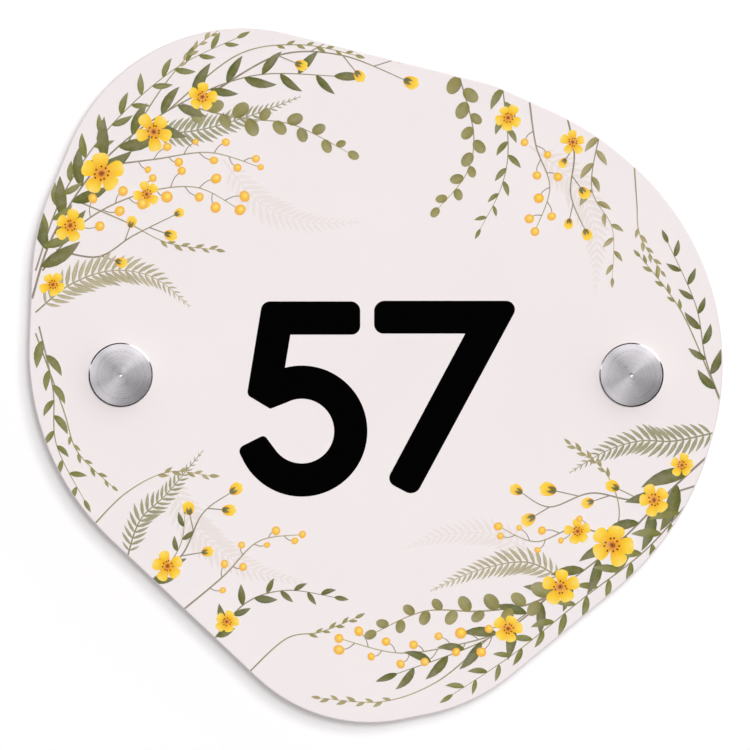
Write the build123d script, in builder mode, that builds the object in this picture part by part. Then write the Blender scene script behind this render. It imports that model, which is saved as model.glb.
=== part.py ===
from build123d import *
from math import atan2, degrees
import os

# A pebble-shaped acrylic number plate, held clear of a door by two turned metal standoffs.
# X points right and Z up as seen from the front, which faces -Y. The door's surface is the plane Y = 0
# and the origin lies on it, midway between the two screws. Every size is in millimetres.

# Plate: its outline is the hull of eight round lobes, each with a centre in X and Z and a radius
right_lobe_center = (23.2, 3.1)
right_lobe_radius = 76.6
shoulder_lobe_center = (21.9, 47.2)
shoulder_lobe_radius = 38.0
crown_lobe_center = (-38.5, 46.2)
crown_lobe_radius = 53.6
upper_left_lobe_center = (-28.2, 25.6)
upper_left_lobe_radius = 71.1
left_lobe_center = (-25.7, 6.8)
left_lobe_radius = 74.3
foot_lobe_center = (-1.9, -53.0)
foot_lobe_radius = 47.2
heel_lobe_center = (4.4, -44.1)
heel_lobe_radius = 54.7
lower_right_lobe_center = (17.6, 1.4)
lower_right_lobe_radius = 81.5
plate_thickness = 3.0
plate_edge_chamfer = 0.35
fixing_spacing = 147.0

# Cap: a turned head with a threaded stud behind it, and the radial play around that stud
cap_diameter = 18.5
cap_thickness = 4.0
cap_chamfer = 0.4
cap_crown = 0.4
center_mark_diameter = 1.0
center_mark_depth = 0.4
stud_diameter = 10.0
stud_chamfer = 0.8
stud_tip_play = 2.5
plate_hole_play = 0.5
washer_bore_play = 0.25
thread_play = 0.1

# Washers on both sides of the plate
washer_diameter = 16.4
washer_thickness = 0.8

# Barrel: a turned cup that stands on the door, with a countersunk hole through its floor
barrel_diameter = 18.5
barrel_length = 12.0
barrel_chamfer = 0.5
screw_hole_play = 0.25
screw_hole_land = 1.6

# Countersunk wood screw: a plain neck in the barrel's floor, then thread from the door's surface inwards
thread_diameter = 4.0
thread_length = 24.0
point_length = 5.0
neck_diameter = 2.9
head_diameter = 7.6
head_cone = 2.3
head_seat_play = 0.05
recess_span = 4.2
recess_width = 1.1
recess_depth = 1.8
recess_taper = 10.0

# Distances in front of the door's surface
plate_back = barrel_length + washer_thickness
plate_front = plate_back + plate_thickness
cap_back = plate_front + washer_thickness
cap_front = cap_back + cap_thickness

# Radii, and the seat of the screw's head in the barrel's floor
cap_radius = cap_diameter / 2
cap_face_radius = cap_radius - cap_chamfer
cap_rim = cap_front - cap_crown
stud_radius = stud_diameter / 2
barrel_radius = barrel_diameter / 2
bore_radius = stud_radius + thread_play
neck_radius = neck_diameter / 2
head_radius = head_diameter / 2
thread_radius = thread_diameter / 2
screw_hole_radius = thread_radius + screw_hole_play
head_slope = head_cone / (head_radius - neck_radius)
countersink_depth = (head_radius - screw_hole_radius) * head_slope
barrel_floor = screw_hole_land + countersink_depth
head_top = barrel_floor + head_seat_play
stud_tip = head_top + stud_tip_play

outline_lobes = [
    (right_lobe_center, right_lobe_radius),
    (shoulder_lobe_center, shoulder_lobe_radius),
    (crown_lobe_center, crown_lobe_radius),
    (upper_left_lobe_center, upper_left_lobe_radius),
    (left_lobe_center, left_lobe_radius),
    (foot_lobe_center, foot_lobe_radius),
    (heel_lobe_center, heel_lobe_radius),
    (lower_right_lobe_center, lower_right_lobe_radius),
]
fixing_places = {"left": -fixing_spacing / 2, "right": fixing_spacing / 2}

os.makedirs("parts", exist_ok=True)

# Plate: the sheet is cut to its outline, its rims are chamfered, and it is drilled for both studs.
# Each lobe's circle starts on the side that faces the middle of the plate, so that its seam is inside.
with BuildPart() as name_plate:
    with BuildSketch(Plane.XZ.offset(plate_back)):
        with BuildLine():
            for (lobe_x, lobe_z), lobe_radius in outline_lobes:
                CenterArc((lobe_x, lobe_z), lobe_radius, degrees(atan2(-lobe_z, -lobe_x)), 360)
        make_hull()
    extrude(amount=plate_thickness)
    chamfer(name_plate.edges().filter_by(Axis.Y, reverse=True), plate_edge_chamfer)
    with BuildSketch(Plane.XZ.offset(plate_back)):
        with Locations(*[(place, 0) for place in fixing_places.values()]):
            Circle(stud_radius + plate_hole_play)
    extrude(amount=plate_thickness, mode=Mode.SUBTRACT)
name_plate.part.label = "name_plate"
export_step(name_plate.part, "parts/name_plate.step")

# One standoff on each side: turned profiles are drawn as radius and distance in front of the door
for side, place in fixing_places.items():
    turning_plane = Plane(origin=(place, 0, 0), x_dir=(1, 0, 0), z_dir=(0, 0, -1))
    turning_axis = Axis((place, 0, 0), (0, -1, 0))

    # Cap: chamfered head with a low crown in two slopes, a small conical mark at its centre, and the stud
    with BuildPart() as cap:
        with BuildSketch(turning_plane):
            with BuildLine():
                Polyline(
                    (0, cap_front - center_mark_depth),
                    (center_mark_diameter / 2, cap_front),
                    (cap_face_radius / 2, cap_front - cap_crown / 4),
                    (cap_face_radius, cap_rim),
                    (cap_radius, cap_rim - cap_chamfer),
                    (cap_radius, cap_back),
                    (stud_radius, cap_back),
                    (stud_radius, stud_tip + stud_chamfer),
                    (stud_radius - stud_chamfer, stud_tip),
                    (0, stud_tip),
                    close=True,
                )
            make_face()
        revolve(axis=turning_axis)
    cap.part.label = f"{side}_cap"
    export_step(cap.part, f"parts/{side}_cap.step")

    # Washers: the same ring in front of the plate and behind it
    for face, washer_back in (("front", plate_front), ("back", barrel_length)):
        with BuildPart() as washer:
            with BuildSketch(Plane.XZ.offset(washer_back)):
                with Locations((place, 0)):
                    Circle(washer_diameter / 2)
                    Circle(stud_radius + washer_bore_play, mode=Mode.SUBTRACT)
            extrude(amount=washer_thickness)
        washer.part.label = f"{side}_{face}_washer"
        export_step(washer.part, f"parts/{side}_{face}_washer.step")

    # Barrel: bored from the front for the stud, with the screw's countersink in its floor
    with BuildPart() as barrel:
        with BuildSketch(turning_plane):
            with BuildLine():
                Polyline(
                    (screw_hole_radius, 0),
                    (barrel_radius - barrel_chamfer, 0),
                    (barrel_radius, barrel_chamfer),
                    (barrel_radius, barrel_length - barrel_chamfer),
                    (barrel_radius - barrel_chamfer, barrel_length),
                    (bore_radius, barrel_length),
                    (bore_radius, barrel_floor),
                    (head_radius, barrel_floor),
                    (screw_hole_radius, screw_hole_land),
                    close=True,
                )
            make_face()
        revolve(axis=turning_axis)
    barrel.part.label = f"{side}_barrel"
    export_step(barrel.part, f"parts/{side}_barrel.step")

    # Screw: the thread is its outer envelope, and the head has a tapered cross recess
    with BuildPart() as screw:
        with BuildSketch(turning_plane):
            with BuildLine():
                Polyline(
                    (0, head_top),
                    (head_radius, head_top),
                    (neck_radius, head_top - head_cone),
                    (neck_radius, 0),
                    (thread_radius, 0),
                    (thread_radius, point_length - thread_length),
                    (0, -thread_length),
                    close=True,
                )
            make_face()
        revolve(axis=turning_axis)
        with BuildSketch(Plane.XZ.offset(head_top)):
            with Locations((place, 0)):
                Rectangle(recess_span, recess_width)
                Rectangle(recess_width, recess_span)
        extrude(amount=-recess_depth, taper=recess_taper, mode=Mode.SUBTRACT)
    screw.part.label = f"{side}_screw"
    export_step(screw.part, f"parts/{side}_screw.step")
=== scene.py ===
import math
import random

import bmesh
import bpy
import numpy as np
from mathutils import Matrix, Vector


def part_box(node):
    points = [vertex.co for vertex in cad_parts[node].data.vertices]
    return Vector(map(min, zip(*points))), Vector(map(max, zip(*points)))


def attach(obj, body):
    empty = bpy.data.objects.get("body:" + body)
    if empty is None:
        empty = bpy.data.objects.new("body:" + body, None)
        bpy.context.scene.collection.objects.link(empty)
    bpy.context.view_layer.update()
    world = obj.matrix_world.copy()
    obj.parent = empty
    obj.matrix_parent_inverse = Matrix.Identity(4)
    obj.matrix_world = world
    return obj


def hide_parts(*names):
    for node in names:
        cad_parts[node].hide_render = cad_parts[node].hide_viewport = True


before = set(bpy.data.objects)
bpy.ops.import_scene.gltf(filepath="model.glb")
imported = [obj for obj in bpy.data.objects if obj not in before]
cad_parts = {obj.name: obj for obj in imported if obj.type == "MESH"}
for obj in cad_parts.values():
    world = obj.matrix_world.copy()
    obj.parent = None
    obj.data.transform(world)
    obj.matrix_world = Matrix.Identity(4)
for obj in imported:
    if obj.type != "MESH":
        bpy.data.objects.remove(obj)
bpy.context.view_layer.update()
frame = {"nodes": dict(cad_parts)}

# A printed door plate on two turned standoffs. Plate, washers and barrels keep their CAD shapes and get
# their finish here. The number and the floral border are thin films of ink on the plate's front face, the
# caps get tool marks and threaded studs, and the screws get a thread.
# Sizes are in millimetres unless a name says otherwise; X points right, Z up, and the front faces -Y.

MM = 0.001
SIDES = ("left", "right")

PLATE_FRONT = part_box("name_plate")[0].y / MM

# Photograph: one pixel of its 750 in millimetres, and the pixel that shows the frame's origin
PHOTO_PIXELS = 750
PIXEL = 0.28777
ORIGIN_PIXEL = (376.1, 374.9)


def linear(red, green, blue):
    """A colour of 0 to 255 steps as Blender's linear values, by the sRGB formula."""
    steps = (red / 255, green / 255, blue / 255)
    return tuple(s / 12.92 if s <= 0.04045 else ((s + 0.055) / 1.055) ** 2.4 for s in steps)


# Pairs of linear tones that a finish varies between
PLATE_TONES = (0.885, 0.818, 0.818), (0.872, 0.802, 0.804)
STEEL_TONES = (0.53, 0.505, 0.535), (0.67, 0.645, 0.675)
BURNISHED_TONES = (0.56, 0.535, 0.56), (0.64, 0.615, 0.64)
WASHER_TONES = (0.78, 0.78, 0.76), (0.86, 0.86, 0.84)
ZINC_TONES = (0.56, 0.55, 0.52), (0.72, 0.71, 0.68)
BLACK_TONES = (0.0002, 0.0001, 0.0002), (0.0006, 0.0004, 0.0006)

# Inks of the border
YELLOW = linear(250, 208, 52)
GOLD = linear(245, 184, 42)
ORANGE = linear(228, 134, 24)
CREAM = linear(252, 226, 130)
BROWN = linear(96, 56, 22)
OLIVE = linear(122, 116, 64)
LIGHT_OLIVE = linear(160, 152, 92)
DARK_GREEN = linear(72, 84, 32)
MOSS = linear(100, 106, 44)
TAN = linear(184, 170, 122)
TWIG = linear(128, 112, 98)
GHOST = linear(226, 214, 208)

# Sockets of a Mix node that mixes colours
MIX_SHARE, MIX_FIRST, MIX_SECOND, MIX_RESULT = 0, 6, 7, 2

# Nearly all values of a noise texture lie between these
NOISE_LOW, NOISE_HIGH = 0.3, 0.7


# Materials


def new_material(name):
    """A node material and its main shader."""
    material = bpy.data.materials.new(name)
    material.use_nodes = True
    return material, material.node_tree.nodes["Principled BSDF"]


def feed(value, socket):
    """Links an output to an input in the same node tree."""
    value.id_data.links.new(value, socket)


def noise(tree, scale, detail):
    """A noise texture; its scale is in waves per metre."""
    texture = tree.nodes.new("ShaderNodeTexNoise")
    texture.inputs["Scale"].default_value = scale
    texture.inputs["Detail"].default_value = detail
    feed(tree.nodes.new("ShaderNodeTexCoord").outputs["Object"], texture.inputs["Vector"])
    return texture.outputs["Fac"]


def ranged(value, low, high, from_low=NOISE_LOW, from_high=NOISE_HIGH, way="LINEAR"):
    """A value stretched from one range to another."""
    node = value.id_data.nodes.new("ShaderNodeMapRange")
    node.interpolation_type = way
    node.inputs["From Min"].default_value = from_low
    node.inputs["From Max"].default_value = from_high
    node.inputs["To Min"].default_value = low
    node.inputs["To Max"].default_value = high
    feed(value, node.inputs["Value"])
    return node.outputs["Result"]


def blended(share, first, second):
    """Two colours, each a tuple or an output, mixed by an output."""
    node = share.id_data.nodes.new("ShaderNodeMix")
    node.data_type = "RGBA"
    feed(share, node.inputs[MIX_SHARE])
    for socket, colour in ((node.inputs[MIX_FIRST], first), (node.inputs[MIX_SECOND], second)):
        if isinstance(colour, tuple):
            socket.default_value = (*colour, 1.0)
        else:
            feed(colour, socket)
    return node.outputs[MIX_RESULT]


def combined(operation, first, second):
    """Two values put through a Math node."""
    node = first.id_data.nodes.new("ShaderNodeMath")
    node.operation = operation
    feed(first, node.inputs[0])
    feed(second, node.inputs[1])
    return node.outputs["Value"]


def vector_step(operation, value, by=(0.0, 0.0, 0.0)):
    """The outputs of a Vector Math node; by is its fixed second vector."""
    node = value.id_data.nodes.new("ShaderNodeVectorMath")
    node.operation = operation
    feed(value, node.inputs[0])
    node.inputs[1].default_value = by
    return node.outputs


def bumped(shader, height, strength, distance_m):
    """Gives a shader a bump from a height."""
    bump = shader.id_data.nodes.new("ShaderNodeBump")
    bump.inputs["Strength"].default_value = strength
    bump.inputs["Distance"].default_value = distance_m
    feed(height, bump.inputs["Height"])
    feed(bump.outputs["Normal"], shader.inputs["Normal"])


def mottled(name, tones, roughness, scale, detail, metallic=0.0, specular=0.5):
    """A finish whose colour and roughness vary with one noise, each between two values."""
    material, shader = new_material(name)
    mottle = noise(material.node_tree, scale, detail)
    feed(blended(mottle, *tones), shader.inputs["Base Color"])
    feed(ranged(mottle, *roughness), shader.inputs["Roughness"])
    shader.inputs["Metallic"].default_value = metallic
    shader.inputs["Specular IOR Level"].default_value = specular
    return material


def plate_colour(tree):
    """The sheet's own colour, the same in the plate and under the inks: white with faint cloudiness."""
    cloud = noise(tree, scale=28.0, detail=2.0)
    return blended(ranged(cloud, low=0.0, high=1.0), *PLATE_TONES)


def plate_material():
    """Satin acrylic with a very fine grain."""
    material, shader = new_material("opal_acrylic")
    feed(plate_colour(material.node_tree), shader.inputs["Base Color"])
    grain = noise(material.node_tree, scale=900.0, detail=4.0)
    feed(ranged(grain, low=0.34, high=0.44), shader.inputs["Roughness"])
    bumped(shader, grain, strength=0.04, distance_m=0.00005)
    return material


def ink_material():
    """Water-based print: the ink attribute holds a film's colour, and its alpha how much sheet it covers."""
    material, shader = new_material("border_ink")
    tree = material.node_tree
    ink = tree.nodes.new("ShaderNodeAttribute")
    ink.attribute_name = "ink"
    thin, full = 0.90, 1.0
    bloom = ranged(noise(tree, scale=420.0, detail=3.0), thin, full)
    speck = ranged(noise(tree, scale=2600.0, detail=2.0), low=0.95, high=1.0)
    cover = combined("MULTIPLY", bloom, speck)
    strength = combined("MULTIPLY", ink.outputs["Alpha"], cover)
    feed(blended(strength, plate_colour(tree), ink.outputs["Color"]), shader.inputs["Base Color"])
    feed(ranged(bloom, 0.40, 0.50, thin, full), shader.inputs["Roughness"])
    shader.inputs["Specular IOR Level"].default_value = 0.25
    return material


def digit_material():
    """Dense matt black print."""
    roughness = (0.42, 0.55)
    return mottled("number_ink", BLACK_TONES, roughness, scale=1200.0, detail=4.0, specular=0.01)


def turned_metal_material():
    """Stainless steel straight from the lathe: rings around the axis stretch its highlights."""
    material, shader = new_material("turned_steel")
    nodes = material.node_tree.nodes
    place = nodes.new("ShaderNodeTexCoord").outputs["Generated"]
    from_axis = vector_step("SUBTRACT", place, (0.5, 0.0, 0.5))["Vector"]
    across = vector_step("MULTIPLY", from_axis, (1.0, 0.0, 1.0))["Vector"]
    rings = nodes.new("ShaderNodeTexNoise")
    rings.noise_dimensions = "1D"
    rings.inputs["Scale"].default_value = 90.0
    rings.inputs["Detail"].default_value = 5.0
    feed(vector_step("LENGTH", across)["Value"], rings.inputs["W"])
    ring = rings.outputs["Fac"]
    feed(blended(ranged(ring, low=0.0, high=1.0), *STEEL_TONES), shader.inputs["Base Color"])
    feed(ranged(ring, low=0.27, high=0.35), shader.inputs["Roughness"])
    bumped(shader, ring, strength=0.10, distance_m=0.00004)
    shader.inputs["Metallic"].default_value = 1.0
    shader.inputs["Anisotropic"].default_value = 0.9
    shader.inputs["Anisotropic Rotation"].default_value = 0.25
    tangent = nodes.new("ShaderNodeTangent")
    tangent.direction_type = "RADIAL"
    tangent.axis = "Y"
    feed(tangent.outputs["Tangent"], shader.inputs["Tangent"])
    return material


def burnished_material():
    """The cap's chamfer and the bottom of its centre mark, left bright by the tool."""
    return mottled(
        "burnished_steel", BURNISHED_TONES, roughness=(0.12, 0.18), scale=3000.0, detail=2.0, metallic=1.0
    )


def washer_material():
    return mottled("milky_plastic", WASHER_TONES, roughness=(0.45, 0.6), scale=700.0, detail=3.0)


def screw_material():
    return mottled("zinc_plate", ZINC_TONES, roughness=(0.24, 0.42), scale=900.0, detail=4.0, metallic=1.0)


def give(node, material):
    """Puts a material in every slot of an object."""
    for slot in node.material_slots:
        slot.material = material


# Flat shapes: points in X and Z, faces and one ink a point


def pairs(loop):
    """Each member of a closed loop with the next one."""
    return zip(loop, loop[1:] + loop[:1])


def plate_rim():
    """The front face's rim as anticlockwise points; it bulges everywhere, so their hull is the rim."""
    flatness, decimals = 0.01, 4
    mesh = frame["nodes"]["name_plate"].data
    front = [v.co / MM for v in mesh.vertices if abs(v.co.y / MM - PLATE_FRONT) < flatness]
    places = sorted({(round(p.x, decimals), round(p.z, decimals)) for p in front})

    def chain(ordered):
        kept = []
        for x, z in ordered:
            while len(kept) > 1:
                (ax, az), (bx, bz) = kept[-2], kept[-1]
                if (bx - ax) * (z - az) - (bz - az) * (x - ax) > 0:
                    break
                kept.pop()
            kept.append((x, z))
        return kept[:-1]

    return np.array(chain(places) + chain(places[::-1]))


RIM = plate_rim()
RIM_RUN = np.roll(RIM, -1, axis=0) - RIM
RIM_NORMALS = np.stack([RIM_RUN[:, 1], -RIM_RUN[:, 0]], axis=1)
RIM_NORMALS /= np.linalg.norm(RIM_NORMALS, axis=1)[:, None]
RIM_OFFSETS = (RIM_NORMALS * RIM).sum(axis=1)


def trimmed(polygon, normal, offset):
    """The part of a polygon of (x, z, ink) rows on the inner side of one line."""
    kept = []
    for here, there in pairs(polygon):
        inside = here[:2] @ normal - offset
        beyond = there[:2] @ normal - offset
        if inside <= 0:
            kept.append(here)
        if inside * beyond < 0:
            kept.append(here + (there - here) * (inside / (inside - beyond)))
    return kept


class InkSheet:
    """Gathers flat coloured shapes, trims them to the plate and makes one closed mesh of thin films."""

    # How deep a film is rooted in the plate, how far apart the tops of films that meet are, and the
    # decimals to which two points are one
    ROOT = 0.02
    STEP = 0.002
    DECIMALS = 5

    def __init__(self, name, height):
        self.name = name
        self.height = height
        self.vertices = []
        self.faces = []
        self.inks = []
        self.boxes = np.empty((0, 4))
        self.levels = np.empty(0, int)

    def level_for(self, rows):
        """The lowest level that no film under this one's box has taken."""
        low, high = rows[:, :2].min(axis=0), rows[:, :2].max(axis=0)
        meets = (self.boxes[:, :2] <= high).all(axis=1) & (self.boxes[:, 2:] >= low).all(axis=1)
        taken = set(self.levels[meets])
        level = next(k for k in range(len(taken) + 1) if k not in taken)
        self.boxes = np.vstack([self.boxes, [*low, *high]])
        self.levels = np.append(self.levels, level)
        return level

    def add(self, points, faces, inks):
        """Trims a shape to the plate and adds what is left of it as one film."""
        rows = np.column_stack([np.asarray(points, float), np.asarray(inks, float)])
        outside = rows[:, :2] @ RIM_NORMALS.T - RIM_OFFSETS
        lines = np.nonzero((outside > 0).any(axis=0))[0]
        places = {}
        kept_rows = []
        loops = []
        for face in faces:
            polygon = [rows[i] for i in face]
            for line in lines:
                polygon = trimmed(polygon, RIM_NORMALS[line], RIM_OFFSETS[line])
            loop = []
            for row in polygon:
                key = (round(row[0], self.DECIMALS), round(row[1], self.DECIMALS))
                if key not in places:
                    places[key] = len(kept_rows)
                    kept_rows.append(row)
                if places[key] not in loop:
                    loop.append(places[key])
            if len(loop) > 2:
                loops.append(loop)
        if loops:
            self._film(np.array(kept_rows), loops)

    def _film(self, rows, loops):
        """A closed film: its top, its underside in the plate and a wall along its outer edges."""
        top = PLATE_FRONT - self.height - self.STEP * self.level_for(rows)
        area = sum(
            rows[a, 0] * rows[b, 1] - rows[b, 0] * rows[a, 1] for loop in loops for a, b in pairs(loop)
        )
        if area < 0:
            loops = [loop[::-1] for loop in loops]
        start = len(self.vertices)
        size = len(rows)
        for y in (top, PLATE_FRONT + self.ROOT):
            self.vertices += [(x * MM, y * MM, z * MM) for x, z in rows[:, :2]]
            self.inks += [tuple(ink) for ink in rows[:, 2:]]
        edges = {edge for loop in loops for edge in pairs(loop)}
        self.faces += [[start + i for i in loop] for loop in loops]
        self.faces += [[start + size + i for i in reversed(loop)] for loop in loops]
        for a, b in edges:
            if (b, a) not in edges:
                self.faces.append([start + b, start + a, start + size + a, start + size + b])

    def piece(self, material):
        """Makes the sheet one object on the plate."""
        mesh = bpy.data.meshes.new(self.name)
        mesh.from_pydata(self.vertices, [], self.faces)
        ink = mesh.attributes.new("ink", "FLOAT_COLOR", "POINT")
        ink.data.foreach_set("color", np.array(self.inks, np.float32).ravel())
        mesh.materials.append(material)
        made = bpy.data.objects.new(self.name, mesh)
        bpy.context.scene.collection.objects.link(made)
        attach(made, "root")


def heading(degrees):
    """The unit vector at an angle from +X towards +Z."""
    return np.array([math.cos(math.radians(degrees)), math.sin(math.radians(degrees))])


def angle_of(direction):
    """The angle of a direction from +X towards +Z, in degrees."""
    return math.degrees(math.atan2(direction[1], direction[0]))


def mixed(first, second, share):
    """Two tones mixed, with a share of the second."""
    return tuple(a + (b - a) * share for a, b in zip(first, second))


def smooth_path(points, per_span=14):
    """A Catmull-Rom curve through points, with the same number of stations in each span."""
    p = np.array([points[0], *points, points[-1]], float)
    stations = []
    for i in range(1, len(p) - 2):
        before, here, there, after = p[i - 1 : i + 3]
        for t in np.arange(per_span) / per_span:
            slope = (there - before) * t
            bow = (2 * before - 5 * here + 4 * there - after) * t**2
            twist = (3 * here - before - 3 * there + after) * t**3
            stations.append(0.5 * (2 * here + slope + bow + twist))
    stations.append(p[-1])
    return np.array(stations)


def along(path, share):
    """The place and the direction in degrees at a share of a path's length."""
    runs = np.diff(path, axis=0)
    reach = np.concatenate([[0], np.cumsum(np.linalg.norm(runs, axis=1))])
    at = share * reach[-1]
    i = min(int(np.searchsorted(reach, at, side="right")) - 1, len(runs) - 1)
    part = (at - reach[i]) / (reach[i + 1] - reach[i])
    return path[i] + runs[i] * part, angle_of(runs[i])


def length_of(path):
    return float(np.linalg.norm(np.diff(path, axis=0), axis=1).sum())


def grid_faces(rows, columns):
    """The faces of a grid of points that was written row by row."""
    return [
        (r * columns + c, r * columns + c + 1, (r + 1) * columns + c + 1, (r + 1) * columns + c)
        for r in range(rows - 1)
        for c in range(columns - 1)
    ]


def stroke(sheet, path, width, end_width, tone, end_tone, cover=0.95):
    """A tapering line along a path."""
    runs = np.gradient(path, axis=0)
    normals = np.stack([-runs[:, 1], runs[:, 0]], axis=1)
    normals /= np.linalg.norm(normals, axis=1)[:, None]
    points = []
    inks = []
    for i, (place, normal) in enumerate(zip(path, normals)):
        share = i / (len(path) - 1)
        half = (width + (end_width - width) * share) / 2
        points += [place - normal * half, place + normal * half]
        inks += [(*mixed(tone, end_tone, share), cover)] * 2
    sheet.add(points, grid_faces(len(path), 2), inks)


# Forms of leaves and petals: the share of the full width at a share t of the length


def lance(t):
    return math.sin(math.pi * t**0.8) ** 0.9


def oval(t):
    return math.sqrt(max(0.0, 1 - (2 * t - 1) ** 2))


def petal_form(t):
    return t**0.6 * math.sqrt(max(0.0, 1 - t**5)) * 1.1


# Shares of a blade's width: its least width, and the width of the notch in its tip
LEAST_WIDTH = 0.015
NOTCH_WIDTH = 0.35


def blade(
    sheet, root, aim, length, width, form, ink, bend=0.0, rows=9, columns=5, notch=0.0, crowding=1.0
):
    """A leaf or petal: a grid along a bent midrib, as wide as its form says.

    Its ink gives a colour at t along the midrib, from 0 to 1, and s across it, from -1 to 1. Crowding draws
    the grid's columns towards the midrib.
    """
    points = []
    inks = []
    for r in range(rows):
        t = 0.5 - 0.5 * math.cos(math.pi * r / (rows - 1))
        rib = root + heading(aim + bend * t / 2) * (length * t)
        across = heading(aim + bend * t + 90)
        forward = heading(aim + bend * t)
        half = max(form(t), LEAST_WIDTH) * width / 2
        for c in range(columns):
            s = 2 * c / (columns - 1) - 1
            s = math.copysign(abs(s) ** crowding, s)
            dent = notch * length * t**4 * math.exp(-((s / NOTCH_WIDTH) ** 2))
            points.append(rib + across * (half * s) - forward * dent)
            inks.append(ink(t, s))
    sheet.add(points, grid_faces(rows, columns), inks)


# The angle from which berries are lit
LIT_FROM = 50


def spot(sheet, centre, radius, inks, squash=1.0, turn=0.0, segments=14, lean=0.0):
    """A round blot of rings; inks run from its core to its rim, and the core leans towards the light."""
    rings = len(inks) - 1
    shift = heading(LIT_FROM) * radius * lean
    points = [centre + shift]
    colours = [inks[0]]
    long_axis = heading(turn)
    short_axis = heading(turn + 90) * squash
    for ring in range(1, rings + 1):
        for k in range(segments):
            a = 2 * math.pi * k / segments
            reach = radius * ring / rings
            middle = centre + shift * (1 - ring / rings)
            points.append(middle + (long_axis * math.cos(a) + short_axis * math.sin(a)) * reach)
            colours.append(inks[ring])
    faces = [(0, 1 + k, 1 + (k + 1) % segments) for k in range(segments)]
    for ring in range(rings - 1):
        inner = 1 + ring * segments
        outer = inner + segments
        for k in range(segments):
            after = (k + 1) % segments
            faces.append((inner + k, outer + k, outer + after, inner + after))
    sheet.add(points, faces, colours)


# Plants of the border

# The cover of a blade, above 1 to make up for the ink's bloom, and what it loses towards the tip
FULL_COVER = 1.08
TIP_THINNING = 0.10

# The lighter wash of a leaf: its share at the root, what tip, lit half and vein add, what the rim takes
# off, and the vein's half width as a share of the leaf's
ROOT_WASH = 0.38
TIP_WASH = 0.30
LIT_WASH = 0.18
VEIN_WASH = 0.45
RIM_WASH = 0.22
VEIN_WIDTH = 0.08

# A petal's tones: the length over which each turns into the next, the cream at its tip and along its
# middle, and what the rim takes off
PETAL_BAND = 0.35
TIP_CREAM = 0.55
MIDDLE_CREAM = 0.10
RIM_CREAM = 0.2

# The furthest share of a stem that a shoot grows from
STEM_TIP = 0.999


def leaf_ink(dark, light, chance, cover=FULL_COVER):
    """Two washes meet at the midrib: one half of the leaf is lighter, and its rim and root are deeper."""
    lit = chance.choice((-1, 1))
    lift = chance.uniform(-0.15, 0.15)

    def ink(t, s):
        share = ROOT_WASH + lift + TIP_WASH * t + LIT_WASH * lit * s - RIM_WASH * abs(s) ** 3
        share += VEIN_WASH * math.exp(-((s / VEIN_WIDTH) ** 2)) * (1 - t)
        return (*mixed(dark, light, min(1.0, max(0.0, share))), cover - TIP_THINNING * t)

    return ink


def petal_ink(chance):
    """Orange at the root, then gold and yellow, with cream at the tip."""
    lift = chance.uniform(-0.12, 0.12)

    def ink(t, s):
        if t < PETAL_BAND:
            tone = mixed(ORANGE, GOLD, t / PETAL_BAND)
        else:
            tone = mixed(GOLD, YELLOW, min(1.0, (t - PETAL_BAND) / PETAL_BAND + lift))
        cream = max(0.0, TIP_CREAM * t**6 - RIM_CREAM * abs(s)) + MIDDLE_CREAM * (1 - abs(s)) * t
        return (*mixed(tone, CREAM, cream), FULL_COVER - TIP_THINNING * t**4)

    return ink


def shoots(path, start, gap, least=1):
    """Share, place, direction and side of each shoot on a stem.

    The sides alternate, and the last shoot ends the stem, on side 0.
    """
    count = max(least, int(length_of(path) * (1 - start) / gap))
    for k in range(count + 1):
        share = start + (1 - start) * k / count
        place, aim = along(path, min(share, STEM_TIP))
        side = 0 if k == count else (1 if k % 2 else -1)
        yield share, place, aim, side


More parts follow.
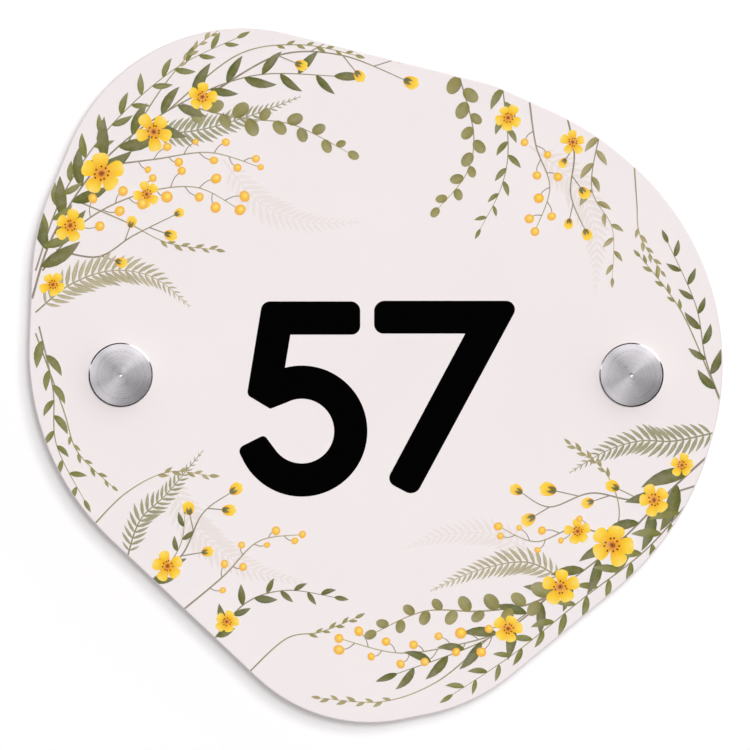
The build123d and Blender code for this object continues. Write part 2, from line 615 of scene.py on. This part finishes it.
class Border:
    """The sheets that the plants are drawn on, from the lowest film to the highest."""

    def __init__(self):
        self.ghosts = InkSheet("ghost_print", height=0.020)
        self.stems = InkSheet("stem_print", height=0.045)
        self.ferns = InkSheet("fern_print", height=0.070)
        self.leaves = InkSheet("leaf_print", height=0.095)
        self.blossoms = InkSheet("blossom_print", height=0.120)
        self.berries = InkSheet("berry_print", height=0.145)
        self.chance = random.Random(57)

    def leafy(self, points, length, width, gap, tones, form=lance, start=0.08, lean=48, stem=0.7):
        """A stem with leaves on alternate sides, smaller towards its tip."""
        chance = self.chance
        root_size, tip_loss = 1.05, 0.45
        path = smooth_path(points)
        stroke(self.stems, path, stem, stem * 0.35, TWIG, tones[1])
        for share, place, aim, side in shoots(path, start, gap, least=2):
            size = length * (root_size - tip_loss * share) * chance.uniform(0.82, 1.15)
            turn = aim + side * (lean + chance.uniform(-12, 12))
            ink = leaf_ink(*tones, chance)
            bend = -side * chance.uniform(5, 40)
            breadth = width * size / length
            blade(self.leaves, place, turn, size, breadth, form, ink, bend, columns=7, crowding=2.0)

    def fern(self, points, reach, gap, tones, sheet=None, cover=0.9):
        """A frond: opposite pairs of narrow leaflets, longest a third of the way up."""
        chance = self.chance
        sheet = sheet or self.ferns
        bare_pairs = 2
        root_lean, lean_loss = 62, 22
        leaflet_width, leaflet_bend = 0.20, 18
        path = smooth_path(points)
        stroke(sheet, path, 0.5, 0.2, *tones, cover)
        count = int(length_of(path) / gap)
        for k in range(bare_pairs, count + 1):
            share = k / count
            place, aim = along(path, min(share, STEM_TIP))
            size = reach * (math.sin(math.pi * share**0.6) * 0.9 + 0.12) * chance.uniform(0.9, 1.1)
            for side in (-1, 1):
                turn = aim + side * (root_lean - lean_loss * share)
                ink = leaf_ink(*tones, chance, cover)
                width = size * leaflet_width
                blade(sheet, place, turn, size, width, lance, ink, -side * leaflet_bend, rows=6, columns=3)

    def grass(self, points, seeds, tones):
        """A thin blade of grass with a loose ear of seeds at its tip."""
        chance = self.chance
        ear_start = 0.62
        seed_width = 0.36
        seed_lean, last_lean = 24, 4
        path = smooth_path(points)
        stroke(self.stems, path, 0.45, 0.2, *tones)
        last = seeds - 1
        for k in range(seeds):
            share = ear_start + (1 - ear_start) * k / last
            place, aim = along(path, min(share, STEM_TIP))
            side = 1 if k % 2 else -1
            turn = aim + side * (last_lean if k == last else seed_lean)
            size = chance.uniform(2.4, 3.3)
            ink = leaf_ink(*tones, chance)
            blade(self.leaves, place, turn, size, size * seed_width, lance, ink, rows=6, columns=3)

    def berries_on(self, points, gap, reach, size, start=0.25):
        """A stem with short side twigs, each with one round berry."""
        chance = self.chance
        end_reach, twig_bow = 0.2, 0.12
        path = smooth_path(points)
        stroke(self.stems, path, 0.55, 0.22, TWIG, LIGHT_OLIVE)
        for _, place, aim, side in shoots(path, start, gap):
            turn = aim + side * chance.uniform(28, 52)
            tip = place + heading(turn) * reach * chance.uniform(0.7, 1.2) * (1 if side else end_reach)
            middle = (place + tip) / 2 + heading(turn + 90) * side * reach * twig_bow
            if side:
                stroke(self.stems, smooth_path([place, middle, tip], per_span=5), 0.3, 0.22, TWIG, OLIVE)
            self.berry(tip, size * chance.uniform(0.75, 1.15))

    def berry(self, centre, radius):
        """A round berry, lightest where it is lit."""
        inks = [(*tone, 1.0) for tone in (CREAM, YELLOW, GOLD, mixed(GOLD, ORANGE, 0.4))]
        squash = self.chance.uniform(0.86, 1.0)
        spot(self.berries, centre, radius, inks, squash, self.chance.uniform(0, 180), lean=0.3)

    def blossom(self, centre, radius, turn, squash=1.0, tilt=0.0):
        """Five notched petals, a dark eye and a ring of stamens, foreshortened along one axis."""
        chance = self.chance
        petals, stamens = 5, 9
        throat, eye_radius = 0.06, 0.19
        dark_cover = 1.1
        centre = np.array(centre, float)
        for k in range(petals):
            aim = turn + 360 / petals * k + chance.uniform(-6, 6)
            shrink = 1 - (1 - squash) * abs(math.sin(math.radians(aim - tilt)))
            reach = radius * shrink * chance.uniform(0.93, 1.06)
            root = centre + heading(aim) * radius * throat
            ink = petal_ink(chance)
            width = radius * chance.uniform(0.84, 0.98)
            bend = chance.uniform(-12, 12)
            blade(self.blossoms, root, aim, reach, width, petal_form, ink, bend, columns=7, notch=0.10)
        eye = [(*BROWN, dark_cover), (*mixed(BROWN, ORANGE, 0.4), dark_cover), (*ORANGE, 0.9)]
        spot(self.berries, centre, radius * eye_radius, eye, squash, tilt)
        stamen_radius = radius * 0.035 + 0.08
        for k in range(stamens):
            aim = turn + 360 / stamens * k + chance.uniform(-10, 10)
            place = centre + heading(aim) * radius * chance.uniform(0.27, 0.36)
            spot(self.berries, place, stamen_radius, [(*BROWN, dark_cover)] * 2, segments=8)

    def bud(self, root, aim, size):
        """A closed flower: three petals in a cup of two sepals."""
        chance = self.chance
        petal_width = size * 0.5
        sepal_length, sepal_width = size * 0.55, size * 0.22
        sepal_lean, sepal_bend = 30, 36
        root = np.array(root, float)
        for turn, reach in ((-16, 0.9), (16, 0.92), (0, 1.0)):
            ink = petal_ink(chance)
            blade(self.blossoms, root, aim + turn, size * reach, petal_width, oval, ink, rows=7, columns=5)
        for side in (-1, 1):
            ink = leaf_ink(DARK_GREEN, OLIVE, chance)
            turn = aim + side * sepal_lean
            bend = -side * sepal_bend
            blade(self.berries, root, turn, sepal_length, sepal_width, lance, ink, bend, rows=6, columns=3)

    def budding(self, points, gap, reach, size, start=0.35):
        """A stem with side twigs that end in buds."""
        chance = self.chance
        path = smooth_path(points)
        stroke(self.stems, path, 0.6, 0.25, TWIG, OLIVE)
        for _, place, aim, side in shoots(path, start, gap):
            turn = aim + side * chance.uniform(30, 48)
            tip = place
            if side:
                tip = place + heading(turn) * reach * chance.uniform(0.8, 1.2)
                stroke(self.stems, smooth_path([place, tip], per_span=5), 0.35, 0.28, TWIG, OLIVE)
            self.bud(tip, turn, size * chance.uniform(0.85, 1.15))

    def pieces(self, material):
        for sheet in (self.ghosts, self.stems, self.ferns, self.leaves, self.blossoms, self.berries):
            sheet.piece(material)


# Pairs of a dark and a light ink
GREENS = (DARK_GREEN, OLIVE)
OLIVES = (OLIVE, LIGHT_OLIVE)
MOSSES = (MOSS, mixed(MOSS, LIGHT_OLIVE, 0.6))
TANS = (OLIVE, TAN)
PALES = (GHOST, mixed(GHOST, PLATE_TONES[0], 0.4))


def draw_border():
    """Two crescents of plants along the upper left and lower right rims, with sprigs between them."""
    border = Border()

    # Pale ferns, under all the rest
    border.fern([(44, 66), (56, 56), (63, 42), (63, 24)], 7.0, 2.0, PALES, border.ghosts, 0.85)
    border.fern([(-60, -28), (-52, -44), (-38, -55), (-20, -60)], 7.0, 2.0, PALES, border.ghosts, 0.85)
    border.fern([(-44, 62), (-34, 50), (-20, 44), (-4, 44)], 6.0, 2.0, PALES, border.ghosts, 0.7)
    border.fern([(46, -52), (34, -46), (20, -46), (8, -50)], 6.0, 2.0, PALES, border.ghosts, 0.7)

    # Upper left crescent
    border.leafy([(-99, 22), (-93, 40), (-80, 60), (-60, 76), (-36, 86), (-12, 86)], 13, 3.8, 5.0, GREENS)
    border.leafy([(-98, 30), (-90, 52), (-76, 72), (-58, 88), (-40, 97)], 8, 2.4, 4.0, MOSSES, stem=0.5)
    border.berries_on([(-96, 30), (-84, 44), (-68, 52), (-52, 54), (-40, 48)], 4.0, 5.0, 1.5)
    border.berries_on([(-80, 60), (-64, 62), (-48, 64), (-34, 60)], 4.0, 4.5, 1.2)
    border.fern([(-98, 18), (-88, 26), (-76, 30), (-64, 28), (-54, 20)], 7.0, 1.9, TANS)
    border.fern([(-70, 70), (-54, 70), (-38, 74), (-22, 80)], 5.5, 1.8, MOSSES)
    border.grass([(-72, 66), (-62, 82), (-52, 94), (-44, 100)], 9, TANS)
    border.grass([(-86, 50), (-72, 44), (-60, 38), (-46, 36)], 9, TANS)
    border.grass([(-60, 76), (-40, 92), (-22, 95), (-6, 92)], 9, OLIVES)
    border.leafy([(-56, 78), (-40, 74), (-24, 72), (-8, 64)], 5.5, 4.0, 3.8, OLIVES, oval, lean=60, stem=0.5)
    border.budding([(-46, 82), (-28, 92), (-10, 92), (8, 85)], 8, 6, 4.5)
    border.budding([(-92, 36), (-80, 34), (-70, 40), (-58, 46)], 8, 5, 3.8)
    border.leafy([(-97, 14), (-93, -4), (-92, -20), (-84, -36)], 7.5, 2.4, 4.2, MOSSES, stem=0.5)
    border.grass([(-98, 12), (-90, -10), (-86, -22), (-76, -32)], 8, OLIVES)
    border.blossom((-79, 58), 6.4, 20, 0.85, 30)
    border.blossom((-64, 70), 5.4, 55, 0.9, 120)
    border.blossom((-88, 43), 4.9, 5, 0.8, 70)
    border.blossom((-50, 80), 4.4, 80, 0.85, 10)
    border.blossom((-66, 52), 3.8, 40, 0.9, 60)
    border.blossom((-93, 26), 3.7, 60, 0.85, 20)

    # Lower right crescent
    border.leafy([(97, -22), (86, -32), (70, -48), (52, -62), (32, -76), (6, -86)], 13, 3.8, 5.0, GREENS)
    border.leafy([(92, -34), (78, -50), (60, -64), (40, -80), (22, -92)], 8, 2.4, 4.0, MOSSES, stem=0.5)
    border.budding([(95, -31), (76, -36), (62, -34), (50, -38), (42, -34)], 8, 6, 4.5)
    border.fern([(100, -16), (86, -19), (76, -19), (66, -22), (56, -28)], 6.5, 1.9, MOSSES)
    border.fern([(55, -60), (44, -54), (30, -56), (16, -62)], 5.5, 1.8, TANS)
    border.leafy([(101, -12), (95, 4), (92, 20), (84, 38)], 7.5, 2.4, 4.2, GREENS, stem=0.5)
    border.grass([(100, -10), (90, 14), (84, 24), (76, 34)], 8, OLIVES)
    border.leafy([(54, -61), (44, -66), (30, -68), (14, -68), (0, -74)], 5.5, 4.0, 3.8, OLIVES, oval, lean=60)
    border.berries_on([(50, -63.5), (38, -73), (22, -78), (6, -80), (-10, -76)], 4.0, 5.0, 1.5)
    border.berries_on([(70, -48), (58, -44), (46, -48), (36, -44)], 4.0, 4.5, 1.2)
    border.grass([(32, -76), (18, -88), (2, -94), (-16, -93)], 9, TANS)
    border.grass([(66, -52), (70, -40), (66, -28), (56, -20)], 9, TANS)
    border.blossom((68, -49), 6.4, 70, 0.85, 150)
    border.blossom((53, -61), 5.4, 15, 0.9, 40)
    border.blossom((80, -36), 4.8, 40, 0.8, 100)
    border.blossom((38, -73), 4.4, 0, 0.85, 170)
    border.blossom((58, -45), 3.8, 25, 0.9, 20)
    border.blossom((88, -26), 3.6, 10, 0.85, 60)

    # Sprigs at the upper right
    border.leafy([(23, 89), (28, 70), (26, 58), (18, 48)], 5.0, 3.6, 3.6, OLIVES, oval, lean=55, stem=0.45)
    border.berries_on([(44, 80), (46, 66), (50, 54), (46, 42)], 3.8, 4.5, 1.3)
    border.leafy([(36, 86), (38, 66), (36, 54), (30, 42)], 6.0, 2.0, 3.8, MOSSES, stem=0.4)
    border.leafy([(65, 72), (62, 54), (68, 42), (68, 28)], 6.0, 2.0, 3.8, TANS, stem=0.4)
    border.grass([(74, 65), (75, 50), (76, 40), (82, 30)], 8, TANS)
    border.budding([(54, 78), (57, 64), (56, 52), (60, 42)], 8, 4.5, 3.6)
    border.blossom((38, 74), 4.0, 50, 0.85, 40)
    border.blossom((56.6, 67), 3.6, 20, 0.9, 140)

    # Sprigs at the lower left
    border.grass([(-82, -44), (-72, -34), (-60, -28), (-48, -29)], 8, TANS)
    border.budding([(-66, -60), (-56, -52), (-50, -40), (-42, -34)], 7, 5, 4.0)
    border.fern([(-72, -54), (-68, -42), (-60, -34), (-50, -22)], 5.0, 1.8, MOSSES)
    border.leafy([(-66, -60), (-60, -55), (-56, -48), (-55, -40)], 6.0, 2.0, 3.6, GREENS, stem=0.4)
    border.leafy([(-48, -78), (-38, -66), (-26, -62), (-12, -64)], 7.0, 2.4, 3.8, GREENS, stem=0.5)
    border.berries_on([(-56, -68), (-44, -58), (-34, -48), (-22, -46)], 4.0, 4.0, 1.2)
    border.grass([(-38, -87), (-26, -76), (-16, -74), (-6, -70)], 8, OLIVES)
    border.blossom((-60, -55), 4.4, 30, 0.9, 60)
    border.blossom((-43, -71), 3.6, 75, 0.85, 10)

    border.pieces(ink_material())


# The number


def rounded(corners, steps=7):
    """A closed outline through (x, z, radius) corners, each rounded by its radius."""
    outline = []
    count = len(corners)
    for k, (x, z, radius) in enumerate(corners):
        here = np.array([x, z])
        if radius == 0:
            outline.append(here)
            continue
        back = np.array(corners[k - 1][:2]) - here
        ahead = np.array(corners[(k + 1) % count][:2]) - here
        back /= np.linalg.norm(back)
        ahead /= np.linalg.norm(ahead)
        half = math.acos(float(np.clip(back @ ahead, -1, 1))) / 2
        middle = here + (back + ahead) / np.linalg.norm(back + ahead) * (radius / math.sin(half))
        first = angle_of(here + back * (radius / math.tan(half)) - middle)
        last = angle_of(here + ahead * (radius / math.tan(half)) - middle)
        sweep = (last - first + 180) % 360 - 180
        outline += [middle + heading(first + sweep * i / steps) * radius for i in range(steps + 1)]
    return outline


def arc(centre, radius, first, last, count):
    """Sharp corners along an arc, ends included."""
    angles = [first + (last - first) * i / count for i in range(count + 1)]
    return [(*(np.array(centre) + heading(angle) * radius), 0) for angle in angles]


def draw_digit(name, outline, material):
    sheet = InkSheet(name, height=0.06)
    sheet.add(outline, [tuple(range(len(outline)))], [(*BLACK_TONES[0], 1.0)] * len(outline))
    sheet.piece(material)


def draw_number():
    """Round-ended grotesque figures with one stroke width; each is a single closed outline."""
    material = digit_material()
    bowl = (-21.37, -16.17)
    bowl_outer, bowl_inner = 18.87, 9.31
    five = [
        (-32.75, 21.15, 2.6),
        (-4.57, 21.15, 2.7),
        (-4.57, 11.58, 2.5),
        (-24.67, 11.58, 0),
        *arc(bowl, bowl_outer, 104.9, -152.0, 60),
        (-39.97, -21.17, 1.9),
        (-32.17, -17.27, 1.3),
        *arc(bowl, bowl_inner, 218.0, 478.0, 52),
        (-30.47, -9.77, 0.8),
        (-37.17, -5.77, 1.7),
    ]
    seven = [
        (-0.57, 21.33, 3.0),
        (41.65, 21.33, 2.5),
        (11.2, -35.1, 3.0),
        (2.9, -30.7, 2.5),
        (25.65, 11.88, 0),
        (-0.57, 11.88, 2.7),
    ]
    draw_digit("digit_five", rounded(five), material)
    draw_digit("digit_seven", rounded(seven), material)


# Turned pieces

# Edges that turn by more than this many degrees are sharp
SHARP_FROM = 32


class Turning:
    """A closed mesh built ring by ring around an axis parallel to Y."""

    def __init__(self, place, segments):
        self.mesh = bmesh.new()
        self.place = place
        self.segments = segments
        self.rings = []

    def vertex(self, x, y, z):
        return self.mesh.verts.new(((self.place + x) * MM, y * MM, z * MM))

    def point(self, y):
        """Adds a point on the axis in place of a ring."""
        tip = self.vertex(0, y, 0)
        self.rings.append([tip] * self.segments)

    def ring(self, radius, y, slot=0):
        """Adds a ring and the band before it, which gets the slot.

        The radius is a number, or a function of the segment.
        """
        made = []
        for k in range(self.segments):
            angle = 2 * math.pi * k / self.segments
            reach = radius(k) if callable(radius) else radius
            made.append(self.vertex(reach * math.cos(angle), y, reach * math.sin(angle)))
        self.rings.append(made)
        if len(self.rings) > 1:
            self.band(slot)

    def band(self, slot=0):
        """Joins the last two rings."""
        before, after = self.rings[-2:]
        for (a, b), (c, d) in zip(pairs(before), pairs(after)):
            face = self.mesh.faces.new(list(dict.fromkeys((a, b, d, c))))
            face.material_index = slot
            face.smooth = True

    def thread(self, start, end, core, crest, pitch, run_in, taper=lambda y: 1.0, ridge=0.34, per_turn=14):
        """Rings from start to end with a helical ridge that rises over its run-in.

        The ridge is half its width as a share of the pitch, and per_turn the rings on one turn.
        """
        rows = int(abs(end - start) / pitch * per_turn)
        way = 1 if end > start else -1
        for r in range(1, rows + 1):
            y = start + (end - start) * r / rows
            run = way * (y - start)

            def radius(k, y=y, run=run):
                phase = (run / pitch - k / self.segments) % 1.0
                rise = max(0.0, 1 - abs(phase - 0.5) / ridge) * min(1.0, run / run_in)
                return (core + (crest - core) * rise) * taper(y)

            self.ring(radius, y)

    def piece(self, name, node, slot, materials):
        """The mesh as one object in place of a CAD node."""
        bmesh.ops.recalc_face_normals(self.mesh, faces=self.mesh.faces[:])
        data = bpy.data.meshes.new(name)
        self.mesh.to_mesh(data)
        self.mesh.free()
        for material in materials:
            data.materials.append(material)
        made = bpy.data.objects.new(name, data)
        bpy.context.scene.collection.objects.link(made)
        data.set_sharp_from_angle(angle=math.radians(SHARP_FROM))
        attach(made, "root")
        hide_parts(node)
        return made


def build_cap(side, steel, burnished):
    """The node's cap with a smooth crown, tool marks, a bright chamfer and a thread on its stud."""
    low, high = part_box(f"{side}_cap")
    front, stud_tip = low.y / MM, high.y / MM
    radius = (high.x - low.x) / 2 / MM
    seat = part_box(f"{side}_front_washer")[0].y / MM
    segments = 96
    mark_radius, mark_depth = 0.5, 0.4
    chamfer, back_chamfer = 0.4, 0.15
    crown, crown_power = 0.4, 3
    face_radius = radius - chamfer
    face_rings = 54
    tool_mark = 0.0007
    coarse_wave, fine_wave, fine_shift, fine_share = 9.1, 14.7, 1.0, 0.6
    stud_radius, core_radius, stud_chamfer = 5.0, 4.5, 0.8
    pitch, run_in = 1.0, 0.8
    bright = 1

    cap = Turning((low.x + high.x) / 2 / MM, segments)
    cap.point(front + mark_depth)
    cap.ring(mark_radius / 2, front + mark_depth / 2, bright)
    for r in range(face_rings + 1):
        reach = mark_radius + (face_radius - mark_radius) * r / face_rings
        wave = math.sin(reach * coarse_wave) + fine_share * math.sin(reach * fine_wave + fine_shift)
        fall = crown * (reach / face_radius) ** crown_power
        cap.ring(reach, front + fall + tool_mark * (1 + wave))
    cap.ring(radius, front + crown + chamfer, bright)
    cap.ring(radius, seat - back_chamfer)
    cap.ring(radius - back_chamfer, seat)
    cap.ring(core_radius, seat)
    cap.thread(seat, stud_tip - stud_chamfer, core_radius, stud_radius, pitch, run_in)
    cap.ring(stud_radius - stud_chamfer, stud_tip)
    cap.point(stud_tip)
    cap.band()
    return cap.piece(f"{side}_turned_cap", f"{side}_cap", "turned_metal", [steel, burnished])


def build_screw(side, material):
    """The node's countersunk screw with its thread cut as a helix and its cross recess."""
    low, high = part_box(f"{side}_screw")
    head_top, tip = low.y / MM, high.y / MM
    head_radius = (high.x - low.x) / 2 / MM
    segments = 40
    head_cone = 2.3
    neck_radius, core_radius, crest_radius = 1.45, 1.3, 2.0
    thread_start, thread_end = 0.3, tip - 0.05
    point_length = 5.0
    pitch, run_in = 1.8, 1.5
    arm_length, arm_width, recess_depth, recess_taper = 2.1, 0.55, 1.8, 0.32

    def towards_point(y):
        return min(1.0, (tip - y) / point_length)

    screw = Turning((low.x + high.x) / 2 / MM, segments)
    screw.ring(head_radius, head_top)
    rim = screw.rings[0]
    screw.ring(neck_radius, head_top + head_cone)
    screw.ring(neck_radius, 0)
    screw.ring(core_radius, thread_start)
    screw.thread(thread_start, thread_end, core_radius, crest_radius, pitch, run_in, towards_point)
    screw.point(tip)
    screw.band()

    def cross(inset, y):
        long, short = arm_length - inset, arm_width - inset
        corner = [(long, -short), (long, short), (short, short)]
        turned = []
        for _ in range(4):
            turned += corner
            corner = [(-z, x) for x, z in corner]
        return [screw.vertex(x, y, z) for x, z in turned]

    mesh = screw.mesh
    mouth = cross(0, head_top)
    floor = cross(recess_taper, head_top + recess_depth)
    for (a, b), (c, d) in zip(pairs(mouth), pairs(floor)):
        mesh.faces.new((a, b, d, c))
    mesh.faces.new(floor)
    edges = []
    for loop in (rim, mouth):
        for pair in pairs(loop):
            edges.append(mesh.edges.get(pair) or mesh.edges.new(pair))
    bmesh.ops.triangle_fill(mesh, edges=edges, use_beauty=True, use_dissolve=False)
    screw.piece(f"{side}_threaded_screw", f"{side}_screw", "screw", [material])


# Stage: the door's surface, light and camera


def build_wall():
    """The white surface that the plate hangs on. It shows from the front only, so the back can be seen."""
    reach_m = 2.0
    behind_feet = 0.05
    white, bounced_grey = (1.0, 0.995, 1.0), (0.4, 0.4, 0.4)
    quarters = ((-1, -1), (1, -1), (1, 1), (-1, 1))
    corners = [(x * reach_m, behind_feet * MM, z * reach_m) for x, z in quarters]
    mesh = bpy.data.meshes.new("wall")
    mesh.from_pydata(corners, [], [(0, 1, 2, 3)])
    material, shader = new_material("wall_paint")
    nodes = material.node_tree.nodes
    path = nodes.new("ShaderNodeLightPath")
    feed(blended(path.outputs["Is Diffuse Ray"], white, bounced_grey), shader.inputs["Base Color"])
    shader.inputs["Roughness"].default_value = 1.0
    shader.inputs["Specular IOR Level"].default_value = 0.0
    see_through = nodes.new("ShaderNodeBsdfTransparent")
    side = nodes.new("ShaderNodeNewGeometry")
    mix = nodes.new("ShaderNodeMixShader")
    feed(side.outputs["Backfacing"], mix.inputs[0])
    feed(shader.outputs["BSDF"], mix.inputs[1])
    feed(see_through.outputs["BSDF"], mix.inputs[2])
    feed(mix.outputs["Shader"], nodes["Material Output"].inputs["Surface"])
    mesh.materials.append(material)
    wall = bpy.data.objects.new("wall", mesh)
    bpy.context.scene.collection.objects.link(wall)
    wall.visible_shadow = False
    wall.visible_glossy = False


def add_sun(name, towards, strength, spread, shadow=True):
    """A distant soft lamp for the matt surfaces; towards is the way its light travels."""
    data = bpy.data.lights.new(name, "SUN")
    data.energy = strength
    data.angle = math.radians(spread)
    data.use_shadow = shadow
    lamp = bpy.data.objects.new(name, data)
    lamp.rotation_mode = "QUATERNION"
    lamp.rotation_quaternion = Vector(towards).to_track_quat("-Z", "Y")
    lamp.visible_glossy = False
    bpy.context.scene.collection.objects.link(lamp)
    return lamp


def spare_shadows(lamp, pieces):
    """Keeps a lamp from casting the shadows of some pieces."""
    spared = bpy.data.collections.new(f"{lamp.name}_spared")
    for piece in pieces:
        spared.objects.link(piece)
    for entry in spared.collection_objects:
        entry.light_linking.link_state = "EXCLUDE"
    lamp.light_linking.blocker_collection = spared


def light_scene(caps):
    """Soft keys from the upper right, a fill, a lamp behind and the studio around them."""
    key = add_sun("key", towards=(-0.146, 1.0, -0.165), strength=1.07, spread=16.6)
    spare_shadows(key, caps)
    add_sun("near_key", towards=(-0.04, 1.0, -0.05), strength=0.96, spread=6.2)
    add_sun("fill", towards=(-0.5, 0.6, -0.55), strength=0.17, spread=5, shadow=False)
    add_sun("rear", towards=(0.3, -1.0, -0.35), strength=1.7, spread=40)
    bpy.context.scene.world = build_studio()


# Soft boxes around the front that the metal mirrors: each one's angle from +X to +Z, its tilt away from
# the front and its half width, in degrees, and its glow. The core of a box, a share of its half width,
# glows evenly.
SOFT_BOXES = {
    "right": (20, 32, 22, 1.5),
    "upper right": (60, 35, 21, 3.7),
    "top": (104, 53, 28, 8.2),
    "upper left": (138, 57, 20, 6.2),
    "left": (168, 40, 24, 3.5),
    "far left": (203, 38, 16, 1.4),
    "lower left": (236, 31, 19, 1.9),
}
BOX_CORE = 0.16


def around_front(azimuth, tilt):
    """The direction that leans from the front by a tilt, towards an angle from +X to +Z."""
    side = heading(azimuth) * math.sin(math.radians(tilt))
    return side[0], -math.cos(math.radians(tilt)), side[1]


def facing(way, towards, low, high, edge, core):
    """A value that rises from low to high as a direction turns towards another.

    Edge and core are the cosines of the angles at which the rise starts and ends.
    """
    dot = vector_step("DOT_PRODUCT", way, Vector(towards).normalized())["Value"]
    return ranged(dot, low, high, edge, core, "SMOOTHSTEP")


def mirror_picture(way):
    """The studio as the metal shows it: a dim room, a paler back, strips for the caps' edges and boxes."""
    front, back = (0, -1, 0), (0, 1, 0)
    right_strip, left_strip = (0.643, -0.15, 0.766), (-0.966, -0.15, 0.259)
    total = facing(way, front, low=0.03, high=0.16, edge=0.25, core=0.7)
    glows = [
        facing(way, back, low=0.0, high=0.6, edge=0.1, core=0.8),
        facing(way, right_strip, low=0.0, high=3.0, edge=0.85, core=0.96),
        facing(way, left_strip, low=0.0, high=3.0, edge=0.982, core=0.996),
    ]
    for azimuth, tilt, half_width, strength in SOFT_BOXES.values():
        edge = math.cos(math.radians(half_width))
        core = math.cos(math.radians(half_width * BOX_CORE))
        glows.append(facing(way, around_front(azimuth, tilt), 0.0, strength, edge, core))
    for glow in glows:
        total = combined("ADD", total, glow)
    return total


def build_studio():
    """A world by the kind of ray that meets it.

    The camera and glass see white, mirroring rays the mirror picture, and all else gets a soft light from
    the upper right.
    """
    upper_right, white = (1, 0, 1), (1.0, 1.0, 1.0)
    world = bpy.data.worlds.new("studio")
    world.use_nodes = True
    nodes = world.node_tree.nodes
    path = nodes.new("ShaderNodeLightPath").outputs
    seen = combined("MAXIMUM", path["Is Camera Ray"], path["Is Transmission Ray"])
    mirrored = combined("GREATER_THAN", path["Is Glossy Ray"], path["Diffuse Depth"])
    way = nodes.new("ShaderNodeTexCoord").outputs["Generated"]
    ambient = facing(way, upper_right, low=0.05, high=0.63, edge=-1.0, core=1.0)
    around = blended(mirrored, ambient, mirror_picture(way))
    feed(blended(seen, around, white), nodes["Background"].inputs["Color"])
    return world


def place_camera():
    """Straight in front, without perspective, framed as in the photograph."""
    distance_m = 0.5
    middle = PHOTO_PIXELS / 2
    data = bpy.data.cameras.new("camera")
    data.type = "ORTHO"
    data.ortho_scale = PHOTO_PIXELS * PIXEL * MM
    camera = bpy.data.objects.new("camera", data)
    x, z = (middle - ORIGIN_PIXEL[0]) * PIXEL, (ORIGIN_PIXEL[1] - middle) * PIXEL
    camera.location = (x * MM, -distance_m, z * MM)
    camera.rotation_euler = (math.pi / 2, 0, 0)
    bpy.context.scene.collection.objects.link(camera)
    bpy.context.scene.camera = camera


def finish_nodes(steel):
    """Gives every CAD node that shows its finish."""
    nodes = frame["nodes"]
    give(nodes["name_plate"], plate_material())
    plastic = washer_material()
    for side in SIDES:
        give(nodes[f"{side}_barrel"], steel)
        give(nodes[f"{side}_front_washer"], plastic)
        give(nodes[f"{side}_back_washer"], plastic)


steel = turned_metal_material()
burnished = burnished_material()
zinc = screw_material()
finish_nodes(steel)
draw_border()
draw_number()
caps = [build_cap(side, steel, burnished) for side in SIDES]
for side in SIDES:
    build_screw(side, zinc)
build_wall()
light_scene(caps)
place_camera()
bpy.context.scene.view_settings.view_transform = "Standard"
